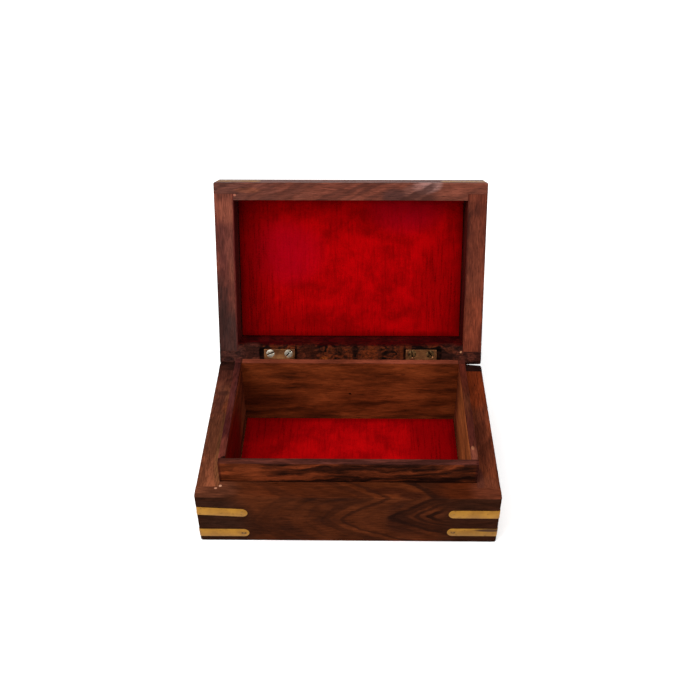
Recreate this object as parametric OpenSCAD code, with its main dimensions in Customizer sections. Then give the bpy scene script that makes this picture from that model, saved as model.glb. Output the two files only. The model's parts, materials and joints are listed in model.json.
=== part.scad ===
// Small hardwood keepsake box with brass corner straps let into the wood.
// The lid swings on two brass butt hinges and is drawn standing open on its stop.
// Millimetres, +Z up, +X to the right, the front faces -Y.
// The origin is the middle of the underside.

/* [Case] */
// Width of the box, left to right
box_w = 152; // [125:1:230]
// Depth of the box, front to back
box_d = 104.5; // [86:0.5:160]
// Height of the base, from the table to its rim
base_h = 33; // [27:0.5:60]
// Height of the lid, from its rim to its top
lid_h = 22.8; // [19:0.1:34]
// Thickness of the base's front board
front_t = 10.4; // [9.5:0.1:14]
// Thickness of the base's two side boards
side_t = 11.5; // [9.5:0.1:14]
// Thickness of the base's back board
back_t = 12.8; // [11.5:0.1:15]
// Thickness of the tongues that cover the ends of the side boards
tongue = 7; // [5.5:0.1:8]
// How much thinner the lid's boards are than the base's
lid_play = 0.7; // [0.5:0.1:1]
// Rounding of the upright corners
corner_r = 1.2; // [0.4:0.1:2.5]
// Rounding along the top edges of the lid
lid_edge_r = 2.4; // [0.8:0.1:3.2]

/* [Panels] */
// Thickness of the bottom panel
bottom_t = 3.2; // [2.4:0.1:4]
// How far the bottom panel reaches under the boards
bottom_lip = 4.5; // [3:0.1:6]
// Thickness of the lid's top panel
top_t = 4; // [3:0.1:5]

/* [Liner] */
// Thickness of the liner boards
liner_t = 3.4; // [2.5:0.1:5]
// How far the liner stands above the base's rim
liner_stand = 13.2; // [9:0.1:13.8]
// Radius of the brad in the back liner
brad_r = 0.6; // [0.4:0.1:1]
// Length of the brad
brad_len = 8; // [6:0.5:10]

/* [Lining] */
// Thickness of the card under the velvet
card_t = 1; // [0.5:0.1:1.5]
// Thickness of the velvet
velvet_t = 0.6; // [0.4:0.1:0.8]
// Gap between the lining and the walls around it
lining_gap = 0.4; // [0.2:0.1:1]

/* [Straps] */
// Length of a strap along each face
strap_len = 25.6; // [16:0.1:31]
// Width of a strap
strap_w = 5.6; // [4:0.1:6.5]
// Thickness of a strap
strap_t = 1; // [0.6:0.1:1.5]
// How far a strap stands proud of the wood
strap_proud = 0.15; // [0:0.05:0.3]
// Height of the lower straps at the left corners
strap_low_left = 6.3; // [4:0.1:8]
// Height of the lower straps at the right corners
strap_low_right = 7.7; // [4:0.1:8]
// Distance from the rim down to the upper straps at the left corners
strap_drop_left = 11; // [8:0.1:12.5]
// Distance from the rim down to the upper straps at the right corners
strap_drop_right = 11.8; // [8:0.1:12.5]
// Height of the lid's straps above its rim
strap_lid = 9.4; // [6:0.1:10]
// Radius of the pins that hold the straps
strap_pin_r = 0.6; // [0.4:0.05:0.8]
// Length of those pins
strap_pin_len = 5; // [3:0.5:6]

/* [Hinges] */
// Distance between the middles of the two hinges
hinge_span = 82.4; // [62:0.2:95]
// Length of a hinge
hinge_len = 18; // [15:0.5:22]
// Radius of the hinge's knuckles
knuckle_r = 1.5; // [1.3:0.05:1.8]
// Thickness of a leaf
leaf_t = 0.9; // [0.7:0.05:1.1]
// Radius of the hinge pin
hinge_pin_r = 0.65; // [0.5:0.05:0.8]
// How far the knuckles stand out behind the back of the box
knuckle_proud = 0.9; // [0:0.1:1.2]
// Width of a leaf, from the middle of the knuckles to its free edge
leaf_w = 8.3; // [7:0.1:9]
// Angle from shut to fully open
open_angle = 113; // [95:1:120]
// Distance between the two screws in a leaf
screw_span = 10.6; // [8:0.1:12]
// Radius of a screw's head
screw_head_r = 2.4; // [1.8:0.05:2.5]
// Radius of a screw's shank
screw_r = 1.1; // [0.8:0.05:1.2]
// Length of a screw
screw_len = 8.5; // [6:0.5:10]

/* [Hidden] */
$fn = 48;

// Clearances
rim_gap = 0.4;      // between the two rims when the lid is shut
swing_play = 0.25;  // between the liner's front edge and the lid as it swings
stop_gap = 0.3;     // between the bevels' outer edges at the stop
panel_gap = 0.1;    // between the bottom panel and its rebate
inlay_gap = 0.05;   // round a strap in its pocket
groove_gap = 0.3;   // round the knuckles in the wood
mortise_outer = 2.8; // past the end of a leaf that is nearer to the box's side
mortise_inner = 0.9; // past its other end
mortise_front = 0.4; // past its free edge
knuckle_gap = 0.12; // between neighbouring knuckles
pin_play = 0.05;    // between the pin and the knuckles that turn on it
over = 1;           // how far a cutter runs past the face that it cuts

// Boards
lid_front_t = front_t - lid_play;
lid_side_t = side_t - lid_play;
lid_back_t = back_t - lid_play;
frame_h = lid_h - top_t;
arc_steps = 6;

// Hinge axis, just inside the back faces and midway between the rims
axis_inset = knuckle_r - knuckle_proud;
axis_y = box_d / 2 - axis_inset;
axis_z = base_h + rim_gap / 2;
lid_z = base_h + rim_gap;

// Bevels along the back rims, whose outer edges meet at the stop
bevel_front = 0.8;  // how far in front of the axis a bevel starts
bevel_end = axis_inset * tan(open_angle / 2) + stop_gap;

// Hinge leaves
knuckles = 5;
pitch = hinge_len / knuckles;
screw_back = 2.6;   // from a leaf's free edge to its screws
screw_y = -(leaf_w - screw_back);
screw_head_h = screw_head_r - screw_r;
screw_tip = 2.5;
slot_w = 0.7;
slot_h = 0.55;

// How far the slots of the four screws in a pair of leaves are turned
BASE_SLOTS = [[20, 75], [140, 50]];
LID_SLOTS = [[158, 48], [96, 128]];

// Middle of a brad in the height of the back liner
brad_z = base_h - 9.5;

// Spaces that the two linings lie in: low corner and high corner
BASE_SPACE = [
  [-box_w / 2 + side_t + liner_t, -box_d / 2 + front_t + liner_t],
  [box_w / 2 - side_t - liner_t, box_d / 2 - back_t - liner_t]
];
LID_SPACE = [
  [-box_w / 2 + lid_side_t, -box_d / 2 + lid_front_t],
  [box_w / 2 - lid_side_t, box_d / 2 - lid_back_t]
];

// Front liner's outside, eased at the top to clear the lid as it swings
swing = axis_y + box_d / 2 - lid_front_t - swing_play;
swing_face = axis_y + box_d / 2 - front_t;
swing_top = base_h + liner_stand - axis_z;
ease_from = min(swing_top - 1, sqrt(swing * swing - swing_face * swing_face));
ease_in = max(0.2, swing_face - sqrt(swing * swing - swing_top * swing_top));

// Every strap: name, side in X, side in Y, height of its middle
STRAPS = [
  ["strap_front_left_upper", -1, -1, base_h - strap_drop_left],
  ["strap_front_left_lower", -1, -1, strap_low_left],
  ["strap_front_right_upper", 1, -1, base_h - strap_drop_right],
  ["strap_front_right_lower", 1, -1, strap_low_right],
  ["strap_back_left_upper", -1, 1, base_h - strap_drop_left],
  ["strap_back_left_lower", -1, 1, strap_low_left],
  ["strap_back_right_upper", 1, 1, base_h - strap_drop_right],
  ["strap_back_right_lower", 1, 1, strap_low_right]
];
LID_STRAPS = [
  ["lid_strap_front_left", -1, -1, lid_z + strap_lid],
  ["lid_strap_front_right", 1, -1, lid_z + strap_lid],
  ["lid_strap_back_left", -1, 1, lid_z + strap_lid],
  ["lid_strap_back_right", 1, 1, lid_z + strap_lid]
];

// Points of a rectangle with round corners, centred on the origin
function rounded_rect(w, d, r) = [
  for (c = [[1, 1, 0], [-1, 1, 90], [-1, -1, 180], [1, -1, 270]], i = [0 : arc_steps])
    let (a = c[2] + 90 * i / arc_steps)
    [c[0] * (w / 2 - r) + r * cos(a), c[1] * (d / 2 - r) + r * sin(a)]
];

// Points of a slab's end, w wide and h high, with its two top corners round
function rounded_top(w, h, r) = concat(
  [[-w / 2, 0], [w / 2, 0]],
  [for (i = [0 : arc_steps]) let (a = 90 * i / arc_steps) [w / 2 - r + r * cos(a), h - r + r * sin(a)]],
  [for (i = [0 : arc_steps]) let (a = 90 + 90 * i / arc_steps) [-w / 2 + r + r * cos(a), h - r + r * sin(a)]]
);

// Moves a part of the shut lid to where it stands when the lid is open
module opened() {
  translate([0, axis_y, axis_z]) rotate([-open_angle, 0, 0]) translate([0, -axis_y, -axis_z]) children();
}

// A block between two corners
module block(low, high) {
  translate(low) cube(high - low);
}

// The box's outline from z0 up, grown by grow
module outline(z0, h, grow = 0) {
  translate([0, 0, z0])
    linear_extrude(h) polygon(rounded_rect(box_w + 2 * grow, box_d + 2 * grow, corner_r + grow));
}

// A bevel along the back of a rim at z = 0, cutting downwards
module back_bevel() {
  y0 = axis_y - bevel_front;
  slope = (bevel_end - rim_gap / 2) / (axis_inset + bevel_front);
  reach = box_d / 2 + over - y0;
  rotate([90, 0, 90]) linear_extrude(box_w + 2 * over, center = true)
    polygon([[y0, 0], [y0, over], [y0 + reach, over], [y0 + reach, -slope * reach]]);
}

// One leg of a strap on the face at y = 0, from x = 0 to the right, sunk to depth t
module strap_leg(t, grow) {
  rotate([-90, 0, 0]) translate([0, 0, -over]) linear_extrude(t + over) {
    translate([-over, -strap_w / 2 - grow]) square([strap_len - strap_w / 2 + over, strap_w + 2 * grow]);
    translate([strap_len - strap_w / 2, 0]) circle(strap_w / 2 + grow);
  }
}

// Both legs of a strap at the front left corner, before they are trimmed
module strap_legs(grow) {
  depth = strap_t - strap_proud;
  translate([-box_w / 2, -box_d / 2, 0]) {
    strap_leg(depth, grow);
    mirror([1, -1, 0]) strap_leg(depth, grow);
  }
}

// The two pins of a strap at the front left corner
module strap_pins() {
  along = strap_len - strap_w / 2;
  depth = strap_pin_len - strap_proud;
  translate([-box_w / 2, -box_d / 2, 0]) {
    translate([along, depth, 0]) rotate([90, 0, 0]) cylinder(r = strap_pin_r, h = strap_pin_len);
    translate([depth, along, 0]) rotate([0, -90, 0]) cylinder(r = strap_pin_r, h = strap_pin_len);
  }
}

// Puts what is made for the front left corner at a strap's own corner and height
module at_strap(s) {
  translate([0, 0, s[3]]) scale([-s[1], -s[2], 1]) children();
}

// Pockets and pin holes for those straps of a list that are at side x and side y; 0 is either side
module strap_cuts(list, x, y) {
  for (s = list)
    if ((x == 0 || s[1] == x) && (y == 0 || s[2] == y))
      at_strap(s) {
        strap_legs(inlay_gap);
        strap_pins();
      }
}

module strap(s) {
  color("goldenrod") difference() {
    intersection() {
      at_strap(s) strap_legs(0);
      outline(s[3] - strap_w, 2 * strap_w, strap_proud);
    }
    at_strap(s) strap_pins();
  }
}

module pins_of(list) {
  color("darkgoldenrod") for (s = list) at_strap(s) strap_pins();
}

// The space of the bottom panel, grown by grow
module bottom_space(grow = 0) {
  x = box_w / 2 - side_t + bottom_lip + grow;
  y0 = -box_d / 2 + front_t - bottom_lip - grow;
  y1 = box_d / 2 - back_t + bottom_lip + grow;
  block([-x, y0, -grow], [x, y1, bottom_t]);
}

// A front board of thickness t and height h standing on z0, with its ends rabbeted for side boards of thickness side
module long_board(t, side, z0, h) {
  intersection() {
    union() {
      block([-box_w / 2, -box_d / 2, z0], [box_w / 2, -box_d / 2 + tongue, z0 + h]);
      block([-box_w / 2 + side, -box_d / 2, z0], [box_w / 2 - side, -box_d / 2 + t, z0 + h]);
    }
    outline(z0, h);
  }
}

// A left board of thickness t between the tongues of the long boards
module short_board(t, z0, h) {
  block([-box_w / 2, -box_d / 2 + tongue, z0], [-box_w / 2 + t, box_d / 2 - tongue, z0 + h]);
}

// Shape of one hinge's half, on its own knuckles, with the hinge's axis as its X axis and its leaf towards -Y
module half_hinge(first, bore_r) {
  top = -rim_gap / 2;
  difference() {
    union() {
      block([-hinge_len / 2 + knuckle_gap / 2, -leaf_w, top - leaf_t], [hinge_len / 2 - knuckle_gap / 2, 0, top]);
      for (i = [first : 2 : knuckles - 1]) knuckle(i, knuckle_r, -knuckle_gap / 2);
    }
    for (i = [1 - first : 2 : knuckles - 1]) knuckle(i, knuckle_r + groove_gap, knuckle_gap / 2);
    turned_rod(bore_r, hinge_len + 2 * over);
    screw_holes();
  }
}

// A cylinder along X, centred on the origin
module turned_rod(r, len) {
  rotate([0, 90, 0]) cylinder(r = r, h = len, center = true);
}

// Knuckle number i, grown at each end
module knuckle(i, r, grow) {
  translate([(i + 0.5 - knuckles / 2) * pitch, 0, 0]) turned_rod(r, pitch + 2 * grow);
}

// A countersunk screw pointing down, with the top of its head at z = 0
module screw_body() {
  translate([0, 0, -screw_head_h]) cylinder(r1 = screw_r, r2 = screw_head_r, h = screw_head_h);
  translate([0, 0, -(screw_len - screw_tip)]) cylinder(r = screw_r, h = screw_len - screw_tip - screw_head_h);
  translate([0, 0, -screw_len]) cylinder(r1 = 0, r2 = screw_r, h = screw_tip);
}

// Places the two screws of a leaf in the hinge's own frame
module at_screws() {
  for (side = [0, 1])
    translate([(side - 0.5) * screw_span, screw_y, -rim_gap / 2]) {
      $side = side;
      children();
    }
}

module screw_holes() {
  at_screws() {
    screw_body();
    cylinder(r = screw_head_r, h = over);
  }
}

module screws(slots) {
  color("silver") at_screws() difference() {
    screw_body();
    rotate([0, 0, slots[$side]]) cube([2 * screw_head_r + over, slot_w, 2 * slot_h], center = true);
  }
}

// Mortise, knuckle groove and screw holes of the lower half of the left hinge, or with side 1 of the right one
module hinge_cuts(side) {
  outer = side * (hinge_len / 2 + mortise_outer);
  inner = -side * (hinge_len / 2 + mortise_inner);
  low = min(outer, inner);
  high = max(outer, inner);
  block([low, -leaf_w - mortise_front, -rim_gap / 2 - leaf_t], [high, axis_inset + over, over]);
  translate([(low + high) / 2, 0, 0]) turned_rod(knuckle_r + groove_gap, high - low);
  screw_holes();
}

// Puts what is made round the hinge's axis at the left hinge, or with side 1 at the right one
module at_hinge(side) {
  translate([side * hinge_span / 2, axis_y, axis_z]) children();
}

// The same for what belongs to the lid: turned over, and moved with the open lid
module at_lid_hinge(side) {
  opened() at_hinge(side) mirror([0, 0, 1]) children();
}

// ---- base ----

module base_front_board() {
  color("sienna") difference() {
    long_board(front_t, side_t, 0, base_h);
    bottom_space(panel_gap);
    strap_cuts(STRAPS, 0, -1);
  }
}

module base_back_board() {
  color("saddlebrown") difference() {
    mirror([0, 1, 0]) long_board(back_t, side_t, 0, base_h);
    bottom_space(panel_gap);
    strap_cuts(STRAPS, 0, 1);
    translate([0, 0, base_h]) back_bevel();
    for (side = [-1, 1]) at_hinge(side) hinge_cuts(side);
    brad();
  }
}

// The left board, or with side 1 the right one
module base_side_board(side) {
  color("sienna") difference() {
    scale([-side, 1, 1]) short_board(side_t, 0, base_h);
    bottom_space(panel_gap);
    strap_cuts(STRAPS, side, 0);
  }
}

module bottom_panel() {
  color("peru") bottom_space();
}

// The card of a lining in a space, lying on z = 0
module lining_card(space) {
  inset = lining_gap + velvet_t;
  color("tan") block([space[0][0] + inset, space[0][1] + inset, 0], [space[1][0] - inset, space[1][1] - inset, card_t]);
}

// The velvet over that card and down its edges
module lining_velvet(space) {
  color("firebrick") difference() {
    block([space[0][0] + lining_gap, space[0][1] + lining_gap, 0],
          [space[1][0] - lining_gap, space[1][1] - lining_gap, card_t + velvet_t]);
    lining_card(space);
  }
}

module base_lining_card() {
  translate([0, 0, bottom_t]) lining_card(BASE_SPACE);
}

module base_velvet() {
  translate([0, 0, bottom_t]) lining_velvet(BASE_SPACE);
}

module liner_front() {
  top = base_h + liner_stand;
  color("sienna") translate([0, -box_d / 2 + front_t, 0]) rotate([90, 0, 90])
    linear_extrude(box_w - 2 * side_t, center = true)
      polygon([[0, bottom_t], [liner_t, bottom_t], [liner_t, top], [ease_in, top], [0, axis_z + ease_from]]);
}

module liner_back() {
  color("sienna") difference() {
    block([-box_w / 2 + side_t, box_d / 2 - back_t - liner_t, bottom_t],
          [box_w / 2 - side_t, box_d / 2 - back_t, base_h + liner_stand]);
    brad();
  }
}

// The left liner between the other two, or with side 1 the right one
module liner_side(side) {
  color("peru") scale([-side, 1, 1])
    block([-box_w / 2 + side_t, -box_d / 2 + front_t + liner_t, bottom_t],
          [-box_w / 2 + side_t + liner_t, box_d / 2 - back_t - liner_t, base_h + liner_stand]);
}

module brad() {
  translate([0, box_d / 2 - back_t - liner_t, brad_z]) rotate([-90, 0, 0]) cylinder(r = brad_r, h = brad_len);
}

module liner_brad() {
  color("dimgray") brad();
}

// ---- lid, drawn shut and then opened ----

module lid_front_board() {
  color("sienna") opened() difference() {
    long_board(lid_front_t, lid_side_t, lid_z, frame_h);
    strap_cuts(LID_STRAPS, 0, -1);
  }
}

module lid_back_board() {
  color("saddlebrown") difference() {
    opened() difference() {
      mirror([0, 1, 0]) long_board(lid_back_t, lid_side_t, lid_z, frame_h);
      strap_cuts(LID_STRAPS, 0, 1);
      translate([0, 0, lid_z]) mirror([0, 0, 1]) back_bevel();
    }
    for (side = [-1, 1]) at_lid_hinge(side) hinge_cuts(side);
  }
}

module lid_side_board(side) {
  color("sienna") opened() difference() {
    scale([-side, 1, 1]) short_board(lid_side_t, lid_z, frame_h);
    strap_cuts(LID_STRAPS, side, 0);
  }
}

// Top panel with its upper edges rounded
module lid_top_panel() {
  color("sienna") opened() translate([0, 0, lid_z + frame_h]) intersection() {
    rotate([90, 0, 0]) linear_extrude(box_d + 2 * over, center = true)
      polygon(rounded_top(box_w, top_t, lid_edge_r));
    rotate([90, 0, 90]) linear_extrude(box_w + 2 * over, center = true)
      polygon(rounded_top(box_d, top_t, lid_edge_r));
    outline(-over, top_t + 2 * over);
  }
}

module lid_lining_card() {
  opened() translate([0, 0, lid_z + frame_h]) mirror([0, 0, 1]) lining_card(LID_SPACE);
}

module lid_velvet() {
  opened() translate([0, 0, lid_z + frame_h]) mirror([0, 0, 1]) lining_velvet(LID_SPACE);
}

// ---- hinges ----

module base_leaf(side) {
  color("gold") at_hinge(side) half_hinge(0, hinge_pin_r);
}

module lid_leaf(side) {
  color("gold") at_lid_hinge(side) half_hinge(1, hinge_pin_r + pin_play);
}

module hinge_pin(side) {
  color("darkgoldenrod") at_hinge(side) turned_rod(hinge_pin_r, hinge_len);
}

module base_screws(side) {
  at_hinge(side) screws(BASE_SLOTS[(side + 1) / 2]);
}

module lid_screws(side) {
  at_lid_hinge(side) screws(LID_SLOTS[(side + 1) / 2]);
}

base_front_board();
base_back_board();
base_side_board(-1);  // base_left_board
base_side_board(1);  // base_right_board
bottom_panel();
base_lining_card();
base_velvet();
liner_front();
liner_back();
liner_side(-1);  // liner_left
liner_side(1);  // liner_right
liner_brad();
for (s = STRAPS) strap(s);
pins_of(STRAPS);  // base_strap_pins
lid_front_board();
lid_back_board();
lid_side_board(-1);  // lid_left_board
lid_side_board(1);  // lid_right_board
lid_top_panel();
lid_lining_card();
lid_velvet();
for (s = LID_STRAPS) opened() strap(s);
opened() pins_of(LID_STRAPS);  // lid_strap_pins
base_leaf(-1);  // left_hinge_base_leaf
lid_leaf(-1);  // left_hinge_lid_leaf
hinge_pin(-1);  // left_hinge_pin
base_screws(-1);  // left_hinge_base_screws
lid_screws(-1);  // left_hinge_lid_screws
base_leaf(1);  // right_hinge_base_leaf
lid_leaf(1);  // right_hinge_lid_leaf
hinge_pin(1);  // right_hinge_pin
base_screws(1);  // right_hinge_base_screws
lid_screws(1);  // right_hinge_lid_screws
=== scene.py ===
"""A small hardwood box with brass corner straps, standing open to show its red velvet lining."""
import json
import math

import bmesh
import bpy
from mathutils import Euler, Matrix, Vector


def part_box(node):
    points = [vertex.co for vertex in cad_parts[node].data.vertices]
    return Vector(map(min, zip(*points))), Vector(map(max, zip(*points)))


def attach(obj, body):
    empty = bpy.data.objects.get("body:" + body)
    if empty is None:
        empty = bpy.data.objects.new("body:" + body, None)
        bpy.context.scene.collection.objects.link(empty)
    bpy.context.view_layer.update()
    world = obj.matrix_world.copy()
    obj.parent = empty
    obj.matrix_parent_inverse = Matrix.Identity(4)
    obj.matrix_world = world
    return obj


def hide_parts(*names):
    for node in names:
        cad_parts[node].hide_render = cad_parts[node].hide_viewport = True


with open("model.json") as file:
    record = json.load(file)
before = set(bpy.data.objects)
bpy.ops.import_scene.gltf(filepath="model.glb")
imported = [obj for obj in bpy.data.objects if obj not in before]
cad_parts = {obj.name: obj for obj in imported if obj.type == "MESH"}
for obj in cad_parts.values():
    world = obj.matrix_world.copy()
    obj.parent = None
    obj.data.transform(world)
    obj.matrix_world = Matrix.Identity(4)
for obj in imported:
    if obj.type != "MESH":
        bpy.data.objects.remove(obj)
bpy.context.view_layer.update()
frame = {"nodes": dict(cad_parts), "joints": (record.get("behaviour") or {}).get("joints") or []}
MM = 0.001
HINGE = frame["joints"][0]
AXIS = Vector(HINGE["pos_m"])
OPEN = math.radians(HINGE["range_deg"][1])
SHUTTING = Matrix.Rotation(OPEN, 3, "X")
TINY, NEAR, MERGE = 1e-6, 2e-5, 2e-6  # in metres: the same level, on a face, and vertices that are one
LEAF_GAP, LEAF_THICK = 0.2 * MM, 0.9 * MM  # from the hinge's axis to a leaf, and the leaf


# ---------------------------------------------------------------- sizes taken from the frame

def span(node):
    """Lowest and highest corner of a part of the base."""
    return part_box(node)


def shut_span(node):
    """Lowest and highest corner of a part of the lid, with the lid shut."""
    points = [AXIS + SHUTTING @ (v.co - AXIS) for v in frame["nodes"][node].data.vertices]
    low = Vector([min(p[i] for p in points) for i in range(3)])
    high = Vector([max(p[i] for p in points) for i in range(3)])
    return low, high


# ---------------------------------------------------------------- bench tools

def clear_selection():
    if bpy.context.object and bpy.context.object.mode != "OBJECT":
        bpy.ops.object.mode_set(mode="OBJECT")
    bpy.ops.object.select_all(action="DESELECT")


def take(piece):
    clear_selection()
    piece.select_set(True)
    bpy.context.view_layer.objects.active = piece


def settle(piece):
    """Leaves the object at the origin with its place in its mesh."""
    take(piece)
    bpy.ops.object.transform_apply(location=True, rotation=True, scale=True)


def edit(piece):
    """Edit mode on one piece, with everything selected."""
    take(piece)
    bpy.ops.object.mode_set(mode="EDIT")
    bpy.ops.mesh.select_all(action="SELECT")


def leave():
    """Back from edit mode."""
    bpy.ops.object.mode_set(mode="OBJECT")


def twin(model, name):
    """A copy of a piece with a mesh of its own."""
    piece = model.copy()
    piece.data = model.data.copy()
    piece.name = piece.data.name = name
    bpy.context.scene.collection.objects.link(piece)
    return piece


def slab(name, low, high):
    """A block between two corners."""
    clear_selection()
    low, high = Vector(low), Vector(high)
    bpy.ops.mesh.primitive_cube_add(size=1, location=(low + high) / 2)
    piece = bpy.context.object
    piece.name = piece.data.name = name
    piece.scale = high - low
    settle(piece)
    return piece


def rod(name, middle, along, radius, length, sides=48):
    """A round bar centred on a point, along a direction."""
    clear_selection()
    turn = Vector((0, 0, 1)).rotation_difference(Vector(along)).to_euler()
    bpy.ops.mesh.primitive_cylinder_add(vertices=sides, radius=radius, depth=length, location=middle,
                                        rotation=turn)
    piece = bpy.context.object
    piece.name = piece.data.name = name
    settle(piece)
    return piece


def mark(piece, kind, wanted):
    """In edit mode, selects only the faces or edges for which wanted(element) holds."""
    bpy.ops.mesh.select_mode(type=kind)
    bpy.ops.mesh.select_all(action="DESELECT")
    mesh = bmesh.from_edit_mesh(piece.data)
    mesh.normal_update()
    for element in (mesh.faces if kind == "FACE" else mesh.edges):
        if wanted(element):
            element.select = True
    mesh.select_flush_mode()
    bmesh.update_edit_mesh(piece.data)


def round_edges(piece, wanted, width, steps=4):
    """Rounds the edges for which wanted(one end, other end) holds."""
    edit(piece)
    mark(piece, "EDGE", lambda e: wanted(e.verts[0].co, e.verts[1].co))
    bpy.ops.mesh.bevel(offset=width, offset_type="OFFSET", segments=steps, profile=0.5, affect="EDGES",
                       clamp_overlap=True)
    leave()


def plane_off(piece, point, outwards):
    """Planes away what lies beyond a flat cut, and closes the cut."""
    edit(piece)
    bpy.ops.mesh.bisect(plane_co=point, plane_no=outwards, use_fill=True, clear_outer=True)
    leave()


def apply(piece, kind, **settings):
    """Adds a modifier with these settings and applies it."""
    take(piece)
    modifier = piece.modifiers.new(kind.lower(), kind)
    for key, value in settings.items():
        setattr(modifier, key, value)
    bpy.ops.object.modifier_apply(modifier=modifier.name)


def cut_out(piece, *cutters):
    for cutter in cutters:
        apply(piece, "BOOLEAN", operation="DIFFERENCE", solver="EXACT", object=cutter)
        bpy.data.objects.remove(cutter)


def ease_edges(piece, width, angle):
    """Bevels the edges that are sharper than an angle."""
    apply(piece, "BEVEL", width=width, segments=2, limit_method="ANGLE", angle_limit=math.radians(angle),
          use_clamp_overlap=True)


def smooth(piece, angle):
    """Shades a piece smoothly over all edges that are flatter than an angle."""
    take(piece)
    bpy.ops.object.shade_smooth_by_angle(angle=math.radians(angle))


def sand(piece, width, crease=32):
    """Breaks every sharp edge a little, and merges the faces of no width that a bevel without room leaves."""
    ease_edges(piece, width, 35)
    edit(piece)
    bpy.ops.mesh.remove_doubles(threshold=MERGE)
    leave()
    smooth(piece, crease)
    apply(piece, "WEIGHTED_NORMAL", weight=80, keep_sharp=True)


def opened(piece):
    """Swings a piece of the shut lid to where the open lid stands."""
    swing = Matrix.Translation(AXIS) @ Matrix.Rotation(-OPEN, 4, "X") @ Matrix.Translation(-AXIS)
    piece.matrix_world = swing
    settle(piece)
    return piece


def place(piece, body, stands_for, finish):
    """Gives a finished piece its material and its body, and hides the part of the frame that it stands for."""
    piece.data.materials.clear()
    piece.data.materials.append(finish)
    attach(piece, body)
    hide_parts(stands_for)
    return piece


def refined(node, name, width):
    """A clean copy of a part of the frame with its edges eased."""
    piece = twin(frame["nodes"][node], name)
    piece.parent = None
    for key in list(piece.keys()):
        if key.startswith("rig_"):
            del piece[key]
    edit(piece)
    bpy.ops.mesh.remove_doubles(threshold=MERGE)
    bpy.ops.mesh.dissolve_limited(angle_limit=math.radians(1))
    leave()
    ease_edges(piece, width, 40)
    smooth(piece, 40)
    return piece


# ---------------------------------------------------------------- shader bench

class Value:
    """A socket that adds up like a number."""

    def __init__(self, paint, socket):
        self.paint, self.socket = paint, socket

    def _sum(self, operation, *terms):
        return self.paint.node("ShaderNodeMath", {"operation": operation}, dict(enumerate(terms)))

    def __add__(self, other): return self._sum("ADD", self, other)
    def __radd__(self, other): return self._sum("ADD", other, self)
    def __sub__(self, other): return self._sum("SUBTRACT", self, other)
    def __rsub__(self, other): return self._sum("SUBTRACT", other, self)
    def __mul__(self, other): return self._sum("MULTIPLY", self, other)
    def __rmul__(self, other): return self._sum("MULTIPLY", other, self)
    def __truediv__(self, other): return self._sum("DIVIDE", self, other)
    def __pow__(self, other): return self._sum("POWER", self, other)
    def __abs__(self): return self._sum("ABSOLUTE", self)


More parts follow.
